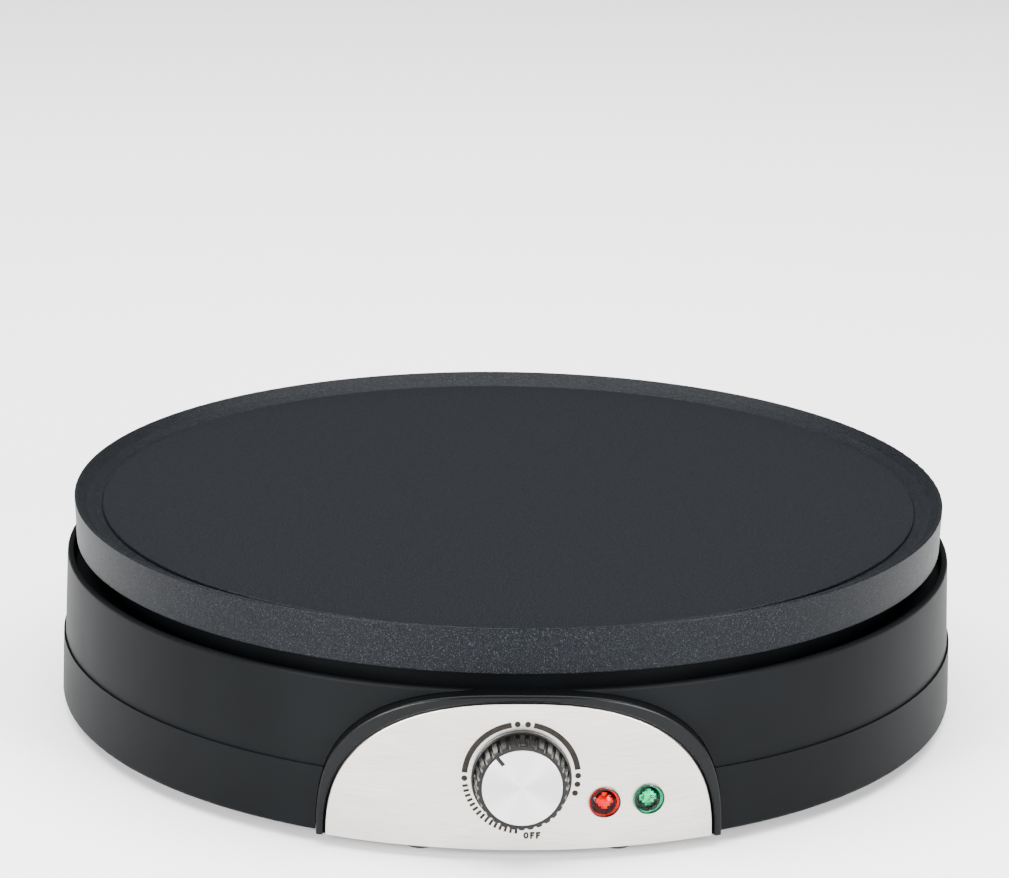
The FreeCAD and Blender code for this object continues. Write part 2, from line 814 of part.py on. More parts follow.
def thermostat_nut():
    nut = hexagon(nut_flats, nut_t).cut(rod(bush_r + contact_gap, -1, nut_t + 1))
    corner_r = nut_flats / math.sqrt(3)
    cone = Part.makeCone(corner_r + nut_t, corner_r - 0.6, nut_t + 0.6)
    nut = nut.common(cone)
    return to_front(nut, 0, -(panel_face_r + washer_t), knob_z)


def lock_washer():
    return to_front(ring(bush_r + slip, washer_r, 0, washer_t), 0, -panel_face_r, knob_z)


def knob_back_y():
    return -(panel_face_r + knob_panel_gap)


def d_section(r, flat, z0, z1):
    """A shaft with a flat, the flat facing the pointer."""
    shaft = rod(r, z0, z1)
    keep = box(-r - 1, flat, -r - 1, r + 1, z0 - 1, z1 + 1)
    return turned(shaft.common(keep), pointer_deg)


def thermostat_spindle():
    front = knob_h - knob_web_t - cap_t - contact_gap
    flat_from = hub_from
    round_end = knob_back_y() - pad_y
    tail = 4.0
    start = round_end - tail
    plain = rod(spindle_r, start, flat_from)
    flatted = d_section(spindle_r, spindle_flat, flat_from - 0.5, front)
    collar = rod(collar_r, round_end - collar_t, round_end - contact_gap)
    return to_front(fused([plain, flatted, collar]), 0, knob_back_y(), knob_z)


def thermostat_tabs():
    back_y = pad_y + thermo_depth
    tabs = []
    for x in (-tab_x, tab_x):
        tab = box(x - tab_w / 2, x + tab_w / 2, back_y, back_y + tab_l, knob_z - 4 - tab_t, knob_z - 4)
        hole = rod(0.9, knob_z - 10, knob_z + 10, x, back_y + tab_l - 2)
        tabs.append(tab.cut(hole))
    return Part.makeCompound(tabs)


# ---- Knob ----
def knob():
    grip_top = knob_h - knob_front_t
    seat = knob_h - cap_t
    grip = Part.makeCone(knob_grip_r, knob_front_r, grip_top - knob_flange_t, V(0, 0, knob_flange_t))
    flange = rod(knob_flange_r, 0, knob_flange_t)
    flange = flange.makeFillet(0.5, circle_edges(flange, knob_flange_r, knob_flange_t))
    head = rod(knob_front_r, grip_top, knob_h)
    head = head.makeFillet(0.4, circle_edges(head, knob_front_r, knob_h))
    body = fused([flange, grip, head])
    web = knob_h - cap_t - knob_web_t
    cuts = [rod(hollow_r, -1, web), rod(cap_r + cap_gap, seat, knob_h + 1)]
    body = cut_all(body, cuts)
    hub = rod(hub_r, hub_from, web + 0.5)
    marker = box(cap_r - pointer_l, cap_r + cap_gap + 0.3, -pointer_w / 2, pointer_w / 2, seat - 0.3, knob_h)
    body = fused([body, hub, turned(marker, pointer_deg)])
    cuts = [d_section(spindle_r + contact_gap, spindle_flat + contact_gap, -1, web)]
    lean = math.degrees(math.atan((knob_grip_r - knob_front_r) / (grip_top - knob_flange_t)))
    for i in range(flute_count):
        flute = rod(flute_r, knob_flange_t + 0.3, knob_h + 1, knob_grip_r + 0.2)
        flute = turned(flute, -lean, V(knob_grip_r, 0, knob_flange_t), V(0, 1, 0))
        cuts.append(turned(flute, 360.0 / flute_count * i))
    body = body.cut(Part.makeCompound(cuts))
    return to_front(body, 0, knob_back_y(), knob_z)


def knob_cap():
    seat = knob_h - cap_t
    cap = rod(cap_r, seat, knob_h)
    cap = cap.makeFillet(0.25, circle_edges(cap, cap_r, knob_h))
    notch_w = pointer_w / 2 + 0.05
    notch = box(cap_r - pointer_l - 0.05, cap_r + 1, -notch_w, notch_w, seat - 1, knob_h + 1)
    return to_front(cap.cut(turned(notch, pointer_deg)), 0, knob_back_y(), knob_z)


def knob_spring_clip():
    """A split ring that grips the hub onto the spindle."""
    low = hub_from + 0.4
    clip = ring(hub_r, hub_r + 0.5, low, low + 1.4)
    gap = turned(box(0, hub_r + 2, -1.5, 1.5, low - 1, low + 3), pointer_deg)
    return to_front(clip.cut(gap), 0, knob_back_y(), knob_z)


# ---- Indicator lamps ----
def lens(x):
    brim = rod(lens_r, 0, lens_brim_t)
    dome_r = (lens_r - 0.5) ** 2 / (2 * lens_dome_h) + lens_dome_h / 2
    ball = Part.makeSphere(dome_r, V(0, 0, lens_brim_t + lens_dome_h - dome_r))
    dome = ball.common(rod(lens_r - 0.5, lens_brim_t - 0.4, lens_brim_t + lens_dome_h + 1))
    neck = rod(lens_neck_r, -lens_neck_l, 0.3)
    bore = rod(lens_neck_r - 0.8, -lens_neck_l - 1, -0.8)
    return around_to(to_front(fused([brim, dome, neck]).cut(bore), 0, -panel_face_r, lamp_z), x)


def lens_retainers():
    flat_y = -math.sqrt(bezel_wall_r ** 2 - retainer_r ** 2) + 0.1
    one = to_front(ring(lens_neck_r + 0.02, retainer_r, -retainer_t, 0), 0, flat_y, lamp_z)
    return Part.makeCompound([around_to(one, x) for x in (red_x, green_x)])


def lamp_sleeve(x):
    front = math.sqrt(bezel_wall_r ** 2 - retainer_r ** 2) - 0.1 - retainer_t - 0.1
    back = front - sleeve_l
    inner = lens_neck_r + slip
    tube = rod(sleeve_r, back, front)
    cuts = [rod(inner, back + 1.2, front + 1), rod(1.6, back - 1, back + 2)]
    return around_to(to_front(cut_all(tube, cuts), 0, 0, lamp_z), x)


def neon_bulb(x):
    front = panel_face_r - lens_neck_l - 0.5
    glass = rod(neon_r, front - neon_l, front)
    glass = glass.makeFillet(1.2, circle_edges(glass, neon_r, front))
    legs = [rod(0.35, front - neon_l - 7, front - neon_l + 0.5, side) for side in (-0.9, 0.9)]
    return around_to(to_front(fused([glass] + legs), 0, 0, lamp_z), x)


# ---- Inlet and wiring ----
def cord_gland():
    y_face = base_bottom_r + gland_flange_t
    y_end = y_face + gland_collar_l
    y_in = lower_wall_r(gland_z) - gland_inner_l
    along = V(0, 1, 0)
    flange = Part.makeCylinder(gland_flange_r, gland_flange_t + 2, V(0, base_bottom_r - 2, gland_z), along)
    flange = flange.makeFillet(0.8, [e for e in flange.Edges if e.BoundBox.YMin > y_face - 1e-3])
    housing = Part.makeCone(base_bottom_r + contact_gap, base_seam_r + contact_gap, lower_h, V(0, 0, base_z))
    neck = Part.makeCylinder(gland_neck_r, y_end - y_in, V(0, y_in, gland_z), along)
    neck = neck.makeFillet(1.0, [e for e in neck.Edges if e.BoundBox.YMin > y_end - 1e-3])
    lip = Part.makeCylinder(gland_neck_r + gland_lip, 2.0, V(0, y_in, gland_z), along)
    bore = Part.makeCylinder(gland_bore_r, y_end - y_in + 2, V(0, y_in - 1, gland_z), along)
    return fused([flange.cut(housing), neck, lip]).cut(bore)


def terminal_block():
    low = floor_z + block_stand
    y0 = block_y - block_l / 2
    y1 = block_y + block_l / 2
    body = box(-block_half_w, block_half_w, y0, y1, low, low + block_h)
    cuts = []
    for x in terminal_xs:
        cuts.append(Part.makeCylinder(1.8, block_l + 2, V(x, y0 - 1, low + block_wire_h), V(0, 1, 0)))
        cuts.append(rod(1.7, low + block_wire_h, low + block_h + 1, x, block_y))
    for x in block_screw_xs:
        cuts.append(rod(small_screw_r + slip, low - 1, low + block_h + 1, x, block_y))
    return cut_all(body, cuts)


def from_above(shape):
    return turned(shape, 180, V(0, 0, 0), V(1, 0, 0))


def terminal_screws():
    one = from_above(screw(1.5, 2.2, 1.6, 1.6))
    z = floor_z + block_stand + block_h - 1
    return Part.makeCompound([moved(one, x, block_y, z) for x in terminal_xs])


def block_screws():
    one = from_above(screw(small_screw_r, block_h + block_stand - 0.5, small_head_r - 0.3, small_head_h))
    z = floor_z + block_stand + block_h
    return Part.makeCompound([moved(one, x, block_y, z) for x in block_screw_xs])


def earth_place():
    return polar(earth_ring_r, earth_deg, dish_z)


def earth_screw():
    one = screw(small_screw_r, 5.0, small_head_r, small_head_h)
    p = earth_place()
    return moved(one, p.x, p.y, dish_z - earth_tag_t)


def earth_tag():
    p = earth_place()
    eye = ring(small_screw_r + slip, 3.6, dish_z - earth_tag_t, dish_z, p.x, p.y)
    tail = box(p.x + 3.0, p.x + earth_tag_l, p.y - 1.6, p.y + 1.6, dish_z - earth_tag_t, dish_z)
    return fused([eye, tail])


def earth_nut():
    p = earth_place()
    nut = hexagon(5.5, 2.0).cut(rod(small_screw_r + contact_gap, -1, 3))
    return moved(nut, p.x, p.y, dish_z + shield_t)


def block_wire_z():
    return floor_z + block_stand + block_wire_h


def tab_end():
    return V(tab_x, pad_y + thermo_depth + tab_l, knob_z - 4 - tab_t / 2)


def live_lead():
    z = block_wire_z()
    tab = tab_end()
    return tube_along([
        V(terminal_xs[2], block_y - 6, z), V(terminal_xs[2], block_y - 22, z), V(40, 48, floor_z + 3),
        V(42, -56, floor_z + 3), V(tab.x + 6, tab.y + 26, tab.z - 4), V(tab.x, tab.y + 14, tab.z),
        V(tab.x, tab.y, tab.z)], lead_r)


def pin_end(side):
    end = element_end(side)
    return V(end.x, end.y, end.z - element_tail_h - pin_out)


def element_lead():
    tab = tab_end()
    pin = pin_end(-1)
    return tube_along([
        V(-tab.x, tab.y, tab.z), V(-tab.x, tab.y + 14, tab.z), V(pin.x, pin.y, pin.z - 14), pin], lead_r)


def fuse_z():
    return dish_z - fuse_r - contact_gap


def thermal_fuse():
    return Part.makeCylinder(fuse_r, fuse_l, V(fuse_x, -fuse_l / 2, fuse_z()), V(0, 1, 0))


def neutral_lead():
    z = block_wire_z()
    half = fuse_l / 2
    return tube_along([
        V(terminal_xs[0], block_y - 6, z), V(terminal_xs[0], block_y - 22, z), V(fuse_x + 4, 50, z + 8),
        V(fuse_x, half + 16, fuse_z()), V(fuse_x, half, fuse_z())], lead_r)


def fuse_lead():
    pin = pin_end(1)
    half = fuse_l / 2
    return tube_along([
        V(fuse_x, -half, fuse_z()), V(fuse_x, -half - 18, fuse_z()), V(fuse_x + 10, -60, pin.z - 8),
        V(pin.x, pin.y, pin.z - 14), pin], lead_r)


def earth_lead():
    z = block_wire_z()
    p = earth_place()
    tail = V(p.x + earth_tag_l, p.y, dish_z - lead_r + 0.15)
    return tube_along([
        V(terminal_xs[1], block_y - 6, z), V(terminal_xs[1], block_y - 20, z), V(24, 52, z + 6),
        V(tail.x + 14, tail.y - 8, tail.z - 6), V(tail.x + 12, tail.y, tail.z), tail], lead_r - 0.2)


def build():
    os.makedirs("parts", exist_ok=True)
    save("griddle_plate", griddle_plate())
    save("heating_element", heating_element())
    save("element_pins", element_pins())
    save("terminal_bushings", terminal_bushings())
    save("element_clamps", element_clamps())
    save("element_clamp_screws", element_clamp_screws())
    save("sensing_bulb", sensing_bulb())
    save("bulb_clip", bulb_clip())
    save("bulb_clip_screws", bulb_clip_screws())
    save("capillary_tube", capillary_tube())
    save("plate_spacers", plate_spacers())
    save("plate_screws", plate_screws())
    save("heat_shield", heat_shield())
    save("upper_housing", upper_housing())
    save("lower_housing", lower_housing())
    save("housing_screws", housing_screws())
    save("rubber_feet", rubber_feet())
    save("panel_bezel", panel_bezel())
    save("control_panel", control_panel())
    save("thermostat_body", thermostat_body())
    save("thermostat_bush", thermostat_bush())
    save("thermostat_nut", thermostat_nut())
    save("lock_washer", lock_washer())
    save("thermostat_spindle", thermostat_spindle())
    save("thermostat_tabs", thermostat_tabs())
    save("knob", knob())
    save("knob_cap", knob_cap())
    save("knob_spring_clip", knob_spring_clip())
    save("red_lens", lens(red_x))
    save("green_lens", lens(green_x))
    save("lens_retainers", lens_retainers())
    save("red_lamp_sleeve", lamp_sleeve(red_x))
    save("green_lamp_sleeve", lamp_sleeve(green_x))
    save("red_neon", neon_bulb(red_x))
    save("green_neon", neon_bulb(green_x))
    save("cord_gland", cord_gland())
    save("terminal_block", terminal_block())
    save("terminal_screws", terminal_screws())
    save("earth_screw", earth_screw())
    save("earth_tag", earth_tag())
    save("earth_nut", earth_nut())
    save("block_screws", block_screws())
    save("live_lead", live_lead())
    save("element_lead", element_lead())
    save("thermal_fuse", thermal_fuse())
    save("neutral_lead", neutral_lead())
    save("fuse_lead", fuse_lead())
    save("earth_lead", earth_lead())


build()
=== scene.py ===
import json
import math

import bmesh
import bpy
from mathutils import Matrix, Vector


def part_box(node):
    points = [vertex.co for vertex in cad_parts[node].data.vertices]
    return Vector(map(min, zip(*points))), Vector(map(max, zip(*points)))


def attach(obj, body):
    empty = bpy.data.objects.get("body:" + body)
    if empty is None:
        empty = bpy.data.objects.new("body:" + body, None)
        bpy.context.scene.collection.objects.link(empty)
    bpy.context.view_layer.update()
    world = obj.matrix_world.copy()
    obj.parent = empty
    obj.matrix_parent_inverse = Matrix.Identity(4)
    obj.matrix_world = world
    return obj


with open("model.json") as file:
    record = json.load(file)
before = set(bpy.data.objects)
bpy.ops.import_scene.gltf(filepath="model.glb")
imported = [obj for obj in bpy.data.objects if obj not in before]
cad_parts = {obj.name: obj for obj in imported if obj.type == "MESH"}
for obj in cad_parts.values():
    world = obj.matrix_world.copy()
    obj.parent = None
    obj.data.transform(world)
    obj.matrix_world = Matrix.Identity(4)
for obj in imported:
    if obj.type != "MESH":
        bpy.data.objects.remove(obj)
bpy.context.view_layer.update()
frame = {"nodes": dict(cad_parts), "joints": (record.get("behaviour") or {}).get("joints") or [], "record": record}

MM = 0.001

# ---- Places read from the frame, in metres ----
plate_low, plate_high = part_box("griddle_plate")
panel_low, panel_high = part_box("control_panel")
cap_low, cap_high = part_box("knob_cap")
red_low, red_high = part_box("red_lens")
green_low, green_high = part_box("green_lens")
knob_z = frame["joints"][0]["pos_m"][2]
rim_z = plate_high[2]
panel_r = -panel_low[1]

# ---- Dial sizes ----
scale_r = 17.6 * MM
scale_w = 1.8 * MM
dot_r = 0.95 * MM
tick_l = 1.75 * MM
tick_w = 0.85 * MM
print_t = 0.05 * MM
off_h = 2.3 * MM


# ---- Materials ----
def new_material(name):
    material = bpy.data.materials.new(name)
    material.use_nodes = True
    tree = material.node_tree
    shader = tree.nodes["Principled BSDF"]
    return material, tree, shader


def add(tree, kind, **values):
    node = tree.nodes.new(kind)
    for key, value in values.items():
        if hasattr(node, key):
            setattr(node, key, value)
        else:
            node.inputs[key].default_value = value
    return node


def object_place(tree, stretch=(1, 1, 1)):
    """The point on the piece in metres, scaled along each axis."""
    place = add(tree, "ShaderNodeTexCoord")
    mapping = add(tree, "ShaderNodeMapping")
    mapping.inputs["Scale"].default_value = stretch
    tree.links.new(place.outputs["Object"], mapping.inputs["Vector"])
    return mapping.outputs["Vector"]


def noise(tree, place, scale, detail=2.0, roughness=0.5):
    node = add(tree, "ShaderNodeTexNoise")
    node.inputs["Scale"].default_value = scale
    node.inputs["Detail"].default_value = detail
    node.inputs["Roughness"].default_value = roughness
    tree.links.new(place, node.inputs["Vector"])
    return node.outputs["Fac"]


def ramp(tree, value, stops):
    """Colours at positions from 0 to 1."""
    node = add(tree, "ShaderNodeValToRGB")
    points = node.color_ramp.elements
    while len(points) < len(stops):
        points.new(0.5)
    for point, (position, colour) in zip(points, stops):
        point.position = position
        point.color = (*colour, 1)
    tree.links.new(value, node.inputs["Fac"])
    return node.outputs["Color"]


def span(tree, value, low, high, from_low=0.0, from_high=1.0):
    node = add(tree, "ShaderNodeMapRange")
    node.inputs["From Min"].default_value = from_low
    node.inputs["From Max"].default_value = from_high
    node.inputs["To Min"].default_value = low
    node.inputs["To Max"].default_value = high
    tree.links.new(value, node.inputs["Value"])
    return node.outputs["Result"]


def bump(tree, shader, height, distance, strength=1.0):
    node = add(tree, "ShaderNodeBump")
    node.inputs["Distance"].default_value = distance
    node.inputs["Strength"].default_value = strength
    tree.links.new(height, node.inputs["Height"])
    tree.links.new(node.outputs["Normal"], shader.inputs["Normal"])


def coating():
    """Non-stick coating: dark, blue-grey, with fine bright flakes and an orange-peel grain."""
    material, tree, shader = new_material("nonstick_coating")
    place = object_place(tree)
    grain = noise(tree, place, 2300, 2.5, 0.6)
    colour = ramp(tree, grain, [(0.0, (0.0012, 0.0015, 0.002)), (0.45, (0.003, 0.0036, 0.0044)),
                                (0.58, (0.006, 0.007, 0.0085)), (0.68, (0.021, 0.023, 0.027)),
                                (1.0, (0.06, 0.064, 0.072))])
    tree.links.new(colour, shader.inputs["Base Color"])
    rough = span(tree, noise(tree, place, 900, 2.0), 0.36, 0.52)
    tree.links.new(rough, shader.inputs["Roughness"])
    shader.inputs["Specular IOR Level"].default_value = 0.06
    bump(tree, shader, grain, 0.00005, 0.55)
    return material


def plastic(name, dark, light, rough_low, rough_high, grain_scale=3500, grain_height=0.00001, wear_scale=35,
            specular=0.5):
    """Moulded plastic: a fine spark-eroded grain and a slow change in colour and gloss."""
    material, tree, shader = new_material(name)
    place = object_place(tree)
    slow = noise(tree, place, wear_scale, 3.0)
    tree.links.new(ramp(tree, slow, [(0.35, dark), (0.65, light)]), shader.inputs["Base Color"])
    tree.links.new(span(tree, slow, rough_low, rough_high), shader.inputs["Roughness"])
    shader.inputs["Specular IOR Level"].default_value = specular
    bump(tree, shader, noise(tree, place, grain_scale, 2.0), grain_height, 0.6)
    return material


def brushed_steel():
    """Stainless sheet brushed along its length: long fine streaks, wrapped round the panel."""
    material, tree, shader = new_material("brushed_panel")
    streaks = noise(tree, object_place(tree, (0.02, 0.02, 1.0)), 5200, 3.0, 0.65)
    cloud = noise(tree, object_place(tree, (0.35, 0.35, 1.0)), 70, 3.0, 0.6)
    mix = add(tree, "ShaderNodeMath", operation="MULTIPLY_ADD")
    mix.inputs[1].default_value = 0.35
    tree.links.new(cloud, mix.inputs[0])
    tree.links.new(streaks, mix.inputs[2])
    colour = ramp(tree, mix.outputs["Value"], [(0.35, (0.40, 0.375, 0.34)), (0.70, (0.54, 0.515, 0.475)),
                                               (0.95, (0.66, 0.635, 0.60))])
    tree.links.new(colour, shader.inputs["Base Color"])
    shader.inputs["Metallic"].default_value = 1.0
    tree.links.new(span(tree, streaks, 0.27, 0.42), shader.inputs["Roughness"])
    shader.inputs["Anisotropic"].default_value = 0.7
    tangent = add(tree, "ShaderNodeTangent", direction_type="RADIAL", axis="Z")
    tree.links.new(tangent.outputs["Tangent"], shader.inputs["Tangent"])
    bump(tree, shader, streaks, 0.000004, 0.5)
    return material


def spun_aluminium():
    """The knob's cap, faced on a lathe: the grain runs in circles about the knob's axis."""
    material, tree, shader = new_material("spun_aluminium")
    place = add(tree, "ShaderNodeTexCoord")
    centred = add(tree, "ShaderNodeVectorMath", operation="SUBTRACT")
    centred.inputs[1].default_value = (0, 0, knob_z)
    tree.links.new(place.outputs["Object"], centred.inputs[0])
    around = add(tree, "ShaderNodeVectorMath", operation="CROSS_PRODUCT")
    around.inputs[1].default_value = (0, 1, 0)
    tree.links.new(centred.outputs["Vector"], around.inputs[0])
    world = add(tree, "ShaderNodeVectorTransform", vector_type="VECTOR", convert_from="OBJECT",
                convert_to="WORLD")
    tree.links.new(around.outputs["Vector"], world.inputs["Vector"])
    unit = add(tree, "ShaderNodeVectorMath", operation="NORMALIZE")
    tree.links.new(world.outputs["Vector"], unit.inputs[0])
    tree.links.new(unit.outputs["Vector"], shader.inputs["Tangent"])
    flat = add(tree, "ShaderNodeVectorMath", operation="MULTIPLY")
    flat.inputs[1].default_value = (1, 0, 1)
    tree.links.new(centred.outputs["Vector"], flat.inputs[0])
    radius = add(tree, "ShaderNodeVectorMath", operation="LENGTH")
    tree.links.new(flat.outputs["Vector"], radius.inputs[0])
    rings = add(tree, "ShaderNodeTexNoise", noise_dimensions="1D")
    rings.inputs["Scale"].default_value = 9000
    rings.inputs["Detail"].default_value = 2
    tree.links.new(radius.outputs["Value"], rings.inputs["W"])
    colour = ramp(tree, rings.outputs["Fac"], [(0.3, (0.50, 0.50, 0.50)), (0.7, (0.66, 0.66, 0.66))])
    tree.links.new(colour, shader.inputs["Base Color"])
    shader.inputs["Metallic"].default_value = 1.0
    tree.links.new(span(tree, rings.outputs["Fac"], 0.24, 0.34), shader.inputs["Roughness"])
    shader.inputs["Anisotropic"].default_value = 0.85
    bump(tree, shader, rings.outputs["Fac"], 0.000003, 0.5)
    return material


def metal(name, dark, light, rough_low, rough_high, scale=400):
    """Plain worked metal with a slow change in tint and gloss."""
    material, tree, shader = new_material(name)
    slow = noise(tree, object_place(tree), scale, 3.0)
    tree.links.new(ramp(tree, slow, [(0.3, dark), (0.7, light)]), shader.inputs["Base Color"])
    tree.links.new(span(tree, slow, rough_low, rough_high), shader.inputs["Roughness"])
    shader.inputs["Metallic"].default_value = 1.0
    return material


def clear_plastic(name, colour, clearness=1.0):
    """A tinted clear lens, smooth outside."""
    material, tree, shader = new_material(name)
    swirl = noise(tree, object_place(tree), 300, 1.0)
    tree.links.new(ramp(tree, swirl, [(0.3, colour), (0.7, tuple(min(1, c * 1.2) for c in colour))]),
                   shader.inputs["Base Color"])
    shader.inputs["Roughness"].default_value = 0.03
    shader.inputs["Transmission Weight"].default_value = clearness
    shader.inputs["Specular IOR Level"].default_value = 0.05
    shader.inputs["IOR"].default_value = 1.18
    return material


def lamp_glow(name, dark, light, strength):
    """The lit lamp behind a lens: brighter and darker patches from its moulded facets."""
    material, tree, shader = new_material(name)
    patches = noise(tree, object_place(tree), 620, 1.0)
    colour = ramp(tree, patches, [(0.38, dark), (0.60, light)])
    tree.links.new(colour, shader.inputs["Emission Color"])
    unlit_share = 0.2
    unlit = [(0.38, tuple(c * unlit_share for c in dark)), (0.60, tuple(c * unlit_share for c in light))]
    tree.links.new(ramp(tree, patches, unlit), shader.inputs["Base Color"])
    shader.inputs["Emission Strength"].default_value = strength
    shader.inputs["Roughness"].default_value = 0.45
    shader.inputs["Specular IOR Level"].default_value = 0.05
    return material


def ink():
    material, tree, shader = new_material("dial_ink")
    slow = noise(tree, object_place(tree), 800, 2.0)
    colours = [(0.3, (0.008, 0.007, 0.006)), (0.7, (0.016, 0.013, 0.011))]
    tree.links.new(ramp(tree, slow, colours), shader.inputs["Base Color"])
    shader.inputs["Roughness"].default_value = 0.5
    shader.inputs["Specular IOR Level"].default_value = 0.1
    return material


MATERIALS = {
    "nonstick_coating": coating(),
    "housing_black": plastic("housing_black", (0.0017, 0.0021, 0.0025), (0.0023, 0.0028, 0.0033), 0.46, 0.54,
                             specular=0.045),
    "bezel_black": plastic("bezel_black", (0.0018, 0.0021, 0.0024), (0.0024, 0.0028, 0.0032), 0.24, 0.32,
                           specular=0.10),
    "knob_black": plastic("knob_black", (0.003, 0.003, 0.003), (0.0045, 0.0045, 0.0045), 0.20, 0.28,
                          2500, 0.000005, specular=0.2),
    "foot_rubber": plastic("foot_rubber", (0.008, 0.008, 0.008), (0.014, 0.014, 0.014), 0.65, 0.8),
    "gland_rubber": plastic("gland_rubber", (0.010, 0.010, 0.010), (0.015, 0.015, 0.015), 0.5, 0.65),
    "brushed_panel": brushed_steel(),
    "spun_aluminium": spun_aluminium(),
    "lens_red": clear_plastic("lens_red", (0.80, 0.015, 0.02)),
    "lens_green": clear_plastic("lens_green", (0.03, 0.66, 0.42)),
    "plated_steel": metal("plated_steel", (0.48, 0.48, 0.46), (0.62, 0.61, 0.58), 0.25, 0.42),
    "element_steel": metal("element_steel", (0.16, 0.13, 0.11), (0.30, 0.27, 0.24), 0.35, 0.55),
    "aluminised_sheet": metal("aluminised_sheet", (0.58, 0.58, 0.58), (0.70, 0.70, 0.70), 0.30, 0.45, 60),
    "copper": metal("copper", (0.62, 0.30, 0.18), (0.76, 0.42, 0.27), 0.22, 0.38),
    "brass": metal("brass", (0.64, 0.46, 0.18), (0.78, 0.60, 0.28), 0.22, 0.36),
    "ceramic": plastic("ceramic", (0.72, 0.69, 0.62), (0.80, 0.77, 0.71), 0.45, 0.6),
    "thermostat_plastic": plastic("thermostat_plastic", (0.55, 0.50, 0.42), (0.62, 0.57, 0.49), 0.4, 0.5),
    "terminal_plastic": plastic("terminal_plastic", (0.66, 0.65, 0.61), (0.72, 0.71, 0.68), 0.35, 0.45),
    "sleeve_silicone": plastic("sleeve_silicone", (0.46, 0.44, 0.41), (0.54, 0.52, 0.49), 0.5, 0.6),
    "neon_glass": clear_plastic("neon_glass", (0.9, 0.86, 0.82)),
    "lead_brown": plastic("lead_brown", (0.11, 0.04, 0.02), (0.16, 0.06, 0.03), 0.5, 0.6),
    "lead_blue": plastic("lead_blue", (0.02, 0.07, 0.26), (0.03, 0.10, 0.33), 0.5, 0.6),
    "lead_green": plastic("lead_green", (0.26, 0.34, 0.03), (0.34, 0.43, 0.05), 0.5, 0.6),
}


def dress_nodes():
    """Every CAD node takes the material of its slot in the record."""
    for part in frame["record"]["subparts"]:
        node = frame["nodes"][part["node"]]
        if not node.material_slots:
            node.data.materials.append(MATERIALS[part["material_slot"]])
        for place in node.material_slots:
            place.material = MATERIALS[part["material_slot"]]


# ---- Printed dial ----
def on_panel(x, z, lift):
    """A point on the panel's curved face, lifted off it."""
    r = panel_r + lift
    return Vector((x, -math.sqrt(r * r - x * x), z))


def slab_from_outline(work, outline):
    """A printed shape with a little thickness, from its outline in (x, z) on the panel, counter-clockwise."""
    top = [work.verts.new(on_panel(x, z, print_t)) for x, z in outline]
    low = [work.verts.new(on_panel(x, z, 0.005 * MM)) for x, z in outline]
    work.faces.new(top)
    work.faces.new(low[::-1])
    count = len(outline)
    for i in range(count):
        j = (i + 1) % count
        work.faces.new([low[i], low[j], top[j], top[i]])


def dial_point(radius, degrees):
    a = math.radians(degrees)
    return radius * math.cos(a), knob_z + radius * math.sin(a)


def arc_strip(work, from_deg, to_deg):
    """A band of the scale, built as short joined pieces so that it follows the panel."""
    steps = max(2, round(abs(to_deg - from_deg) / 2.5))
    rings = []
    for i in range(steps + 1):
        degrees = from_deg + (to_deg - from_deg) * i / steps
        ring = []
        for radius, lift in ((scale_r - scale_w / 2, 0.005 * MM), (scale_r + scale_w / 2, 0.005 * MM),
                             (scale_r + scale_w / 2, print_t), (scale_r - scale_w / 2, print_t)):
            x, z = dial_point(radius, degrees)
            ring.append(work.verts.new(on_panel(x, z, lift)))
        rings.append(ring)
    for a, b in zip(rings, rings[1:]):
        for k in range(4):
            n = (k + 1) % 4
            work.faces.new([a[k], a[n], b[n], b[k]])
    work.faces.new(rings[0][::-1])
    work.faces.new(rings[-1])


def dot(work, degrees):
    x, z = dial_point(scale_r, degrees)
    steps = 28
    outline = []
    for step in range(steps):
        a = step * math.tau / steps
        outline.append((x + dot_r * math.cos(a), z + dot_r * math.sin(a)))
    slab_from_outline(work, outline)


def tick(work, degrees, length):
    a = math.radians(degrees)
    ux, uz = math.cos(a), math.sin(a)
    outline = []
    for along, across in ((-0.5, -0.5), (0.5, -0.5), (0.5, 0.5), (-0.5, 0.5)):
        r = scale_r + along * length
        outline.append((r * ux - across * tick_w * uz, knob_z + r * uz + across * tick_w * ux))
    slab_from_outline(work, outline)


def letter_strokes():
    """Sizes for the strokes of the word OFF, with the cap height as the unit: letter width, gap and stroke."""
    return {"width": 0.74, "gap": 0.16, "stroke": 0.29}


def bar(work, x0, x1, z0, z1):
    slab_from_outline(work, [(x0, z0), (x1, z0), (x1, z1), (x0, z1)])


def letter_o(work, x, z, width, height, stroke):
    """A round letter: an oval band."""
    steps = 32
    rings = []
    for i in range(steps):
        t = math.tau * i / steps
        ring = []
        for shrink, lift in ((stroke, 0.005 * MM), (0.0, 0.005 * MM), (0.0, print_t), (stroke, print_t)):
            px = x + width / 2 + (width / 2 - shrink) * math.cos(t)
            pz = z + height / 2 + (height / 2 - shrink) * math.sin(t)
            ring.append(work.verts.new(on_panel(px, pz, lift)))
        rings.append(ring)
    for i in range(steps):
        a, b = rings[i], rings[(i + 1) % steps]
        for k in range(4):
            n = (k + 1) % 4
            work.faces.new([a[k], a[n], b[n], b[k]])


def letter_f(work, x, z, width, height, stroke):
    bar(work, x, x + stroke, z, z + height)
    bar(work, x + stroke, x + width, z + height - stroke, z + height)
    bar(work, x + stroke, x + width * 0.86, z + height * 0.5 - stroke / 2, z + height * 0.5 + stroke / 2)


def finish_mesh(work, name, material, body, smooth=False):
    bmesh.ops.recalc_face_normals(work, faces=work.faces)
    mesh = bpy.data.meshes.new(name)
    work.to_mesh(mesh)
    work.free()
    for polygon in mesh.polygons:
        polygon.use_smooth = smooth
    mesh.materials.append(material)
    piece = bpy.data.objects.new(name, mesh)
    bpy.context.scene.collection.objects.link(piece)
    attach(piece, body)
    return piece


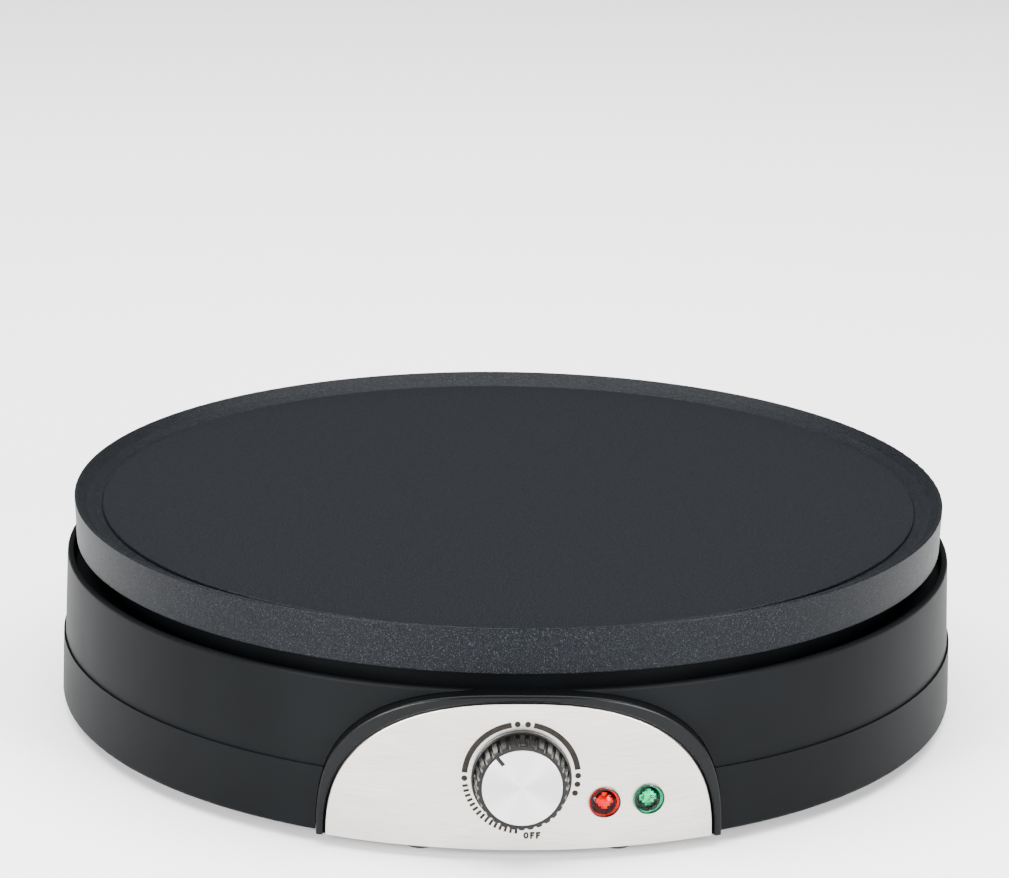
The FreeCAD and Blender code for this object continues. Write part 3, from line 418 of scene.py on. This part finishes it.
def dial_print():
    work = bmesh.new()
    arc_strip(work, 176.0, 100.5)
    arc_strip(work, 78.0, 7.5)
    for degrees in (182.0, 94.6, 84.2, 1.0, -8.3, -18.0):
        dot(work, degrees)
    for i in range(15):
        tick(work, 190.0 + 5.4 * i, tick_l * (1 + 0.02 * i))
    style = letter_strokes()
    height = off_h
    width = style["width"] * height
    x = 0.9 * MM
    z = knob_z - 20.4 * MM
    letter_o(work, x, z, width, height, style["stroke"] * height)
    step = width + style["gap"] * height
    letter_f(work, x + step, z, width * 0.85, height, style["stroke"] * height)
    letter_f(work, x + 2 * step - 0.1 * height, z, width * 0.85, height, style["stroke"] * height)
    piece = finish_mesh(work, "dial_print", ink(), "base")


# ---- Indicator lamps ----
def lens_frame(low, high):
    """A matrix whose Z leaves the panel squarely through the lens, with its origin on the panel's face."""
    x = (low[0] + high[0]) / 2
    z = (low[2] + high[2]) / 2
    reach = math.hypot((low[0] + high[0]) / 2, (low[1] + high[1]) / 2)
    turn = math.asin(x / reach)
    facing_front = Matrix.Rotation(math.radians(90), 4, "X")
    return Matrix.Rotation(turn, 4, "Z") @ Matrix.Translation((0, -panel_r, z)) @ facing_front


def turned_profile(work, profile, matrix, steps=48):
    """A closed outline of (radius, height) pairs in millimetres, turned about the matrix's Z."""
    rings = []
    for i in range(steps):
        t = math.tau * i / steps
        rings.append([work.verts.new(matrix @ Vector((r * MM * math.cos(t), r * MM * math.sin(t), h * MM)))
                      for r, h in profile])
    count = len(profile)
    for i in range(steps):
        a, b = rings[i], rings[(i + 1) % steps]
        for k in range(count):
            n = (k + 1) % count
            work.faces.new([a[k], a[n], b[n], b[k]])


def lens_shade_ring(name, matrix):
    """Painted shade: a black ring laid on the clear lens's brim to give the lens its dark edge, which on the lens
    is shade, with an eased outer edge.
    """
    work = bmesh.new()
    profile = [(4.36, 0.82), (4.36, 1.25), (4.45, 1.32), (4.62, 1.28), (4.78, 1.10), (4.84, 0.82)]
    turned_profile(work, profile, matrix)
    piece = finish_mesh(work, name, MATERIALS["knob_black"], "base", smooth=True)


def lens_facets(name, matrix, material):
    """A plate of small pyramids inside the lens."""
    work = bmesh.new()
    pitch = 0.82
    radius = 2.9
    half = 4
    back_depth = -1.5
    tip_depth = -1.05

    def corner(a, b, depth):
        return work.verts.new(matrix @ Vector((a * pitch * MM, b * pitch * MM, depth * MM)))

    for i in range(-half, half):
        for j in range(-half, half):
            corners = [(i, j), (i + 1, j), (i + 1, j + 1), (i, j + 1)]
            if any(math.hypot(a * pitch, b * pitch) > radius for a, b in corners):
                continue
            ring = [corner(a, b, back_depth) for a, b in corners]
            tip = corner(i + 0.5, j + 0.5, tip_depth)
            for k in range(4):
                work.faces.new([ring[k], ring[(k + 1) % 4], tip])
            work.faces.new(ring[::-1])
    bmesh.ops.remove_doubles(work, verts=work.verts, dist=1e-6)
    piece = finish_mesh(work, name, material, "base")


def lamps():
    for colour, low, high, dark, light, strength in (
            ("red", red_low, red_high, (0.22, 0.0, 0.0), (1.0, 0.0, 0.002), 2.2),
            ("green", green_low, green_high, (0.0, 0.22, 0.13), (0.01, 1.0, 0.62), 2.2)):
        matrix = lens_frame(low, high)
        # Each lens gets a black ring on its brim: painted shade for the lens's dark edge.
        lens_shade_ring(colour + "_lens_shade_ring", matrix)
        glow = lamp_glow(colour + "_glow", dark, light, strength)
        lens_facets(colour + "_lens_facets", matrix, glow)


# ---- Stage, light and camera ----
def stage_material():
    material, tree, shader = new_material("paper")
    shader.inputs["Base Color"].default_value = (0.92, 0.92, 0.92, 1)
    shader.inputs["Roughness"].default_value = 0.9
    return material


def make_floor():
    work = bmesh.new()
    bmesh.ops.create_grid(work, x_segments=1, y_segments=1, size=6)
    mesh = bpy.data.meshes.new("paper_floor")
    work.to_mesh(mesh)
    work.free()
    mesh.materials.append(stage_material())
    floor = bpy.data.objects.new("paper_floor", mesh)
    bpy.context.scene.collection.objects.link(floor)


def soft_light(name, place, target, width, height, power, colour=(1, 1, 1)):
    data = bpy.data.lights.new(name, "AREA")
    data.shape = "RECTANGLE"
    data.size = width
    data.size_y = height
    data.energy = power
    data.color = colour
    light = bpy.data.objects.new(name, data)
    light.location = place
    light.rotation_euler = (Vector(target) - Vector(place)).to_track_quat("-Z", "Y").to_euler()
    bpy.context.scene.collection.objects.link(light)


def make_light():
    world = bpy.data.worlds.new("studio")
    world.use_nodes = True
    world.node_tree.nodes["Background"].inputs["Color"].default_value = (1, 1, 1, 1)
    world.node_tree.nodes["Background"].inputs["Strength"].default_value = 0.3
    bpy.context.scene.world = world
    soft_light("top_box", (0.0, 0.1, 1.9), (0, 0, 0), 2.8, 2.0, 200)
    soft_light("left_box", (-1.0, -1.2, 0.42), (0, -0.1, 0.03), 0.45, 0.8, 70)
    soft_light("right_box", (1.0, -1.2, 0.42), (0, -0.1, 0.03), 0.45, 0.8, 60)


def make_camera():
    rim = Vector((0, 0, rim_z))
    place = rim + Vector((-39.0, -1144.6, 352.4)) * MM
    data = bpy.data.cameras.new("camera")
    data.sensor_width = 36
    data.lens = 122.9
    data.shift_x = -0.0042
    data.shift_y = 0.0453
    data.clip_start = 0.05
    camera = bpy.data.objects.new("camera", data)
    look = (rim - place).to_track_quat("-Z", "Y").to_matrix().to_4x4()
    camera.matrix_world = Matrix.Translation(place) @ look @ Matrix.Rotation(math.radians(0.907), 4, "Z")
    bpy.context.scene.collection.objects.link(camera)
    bpy.context.scene.camera = camera


dress_nodes()
dial_print()
lamps()
make_floor()
make_light()
make_camera()
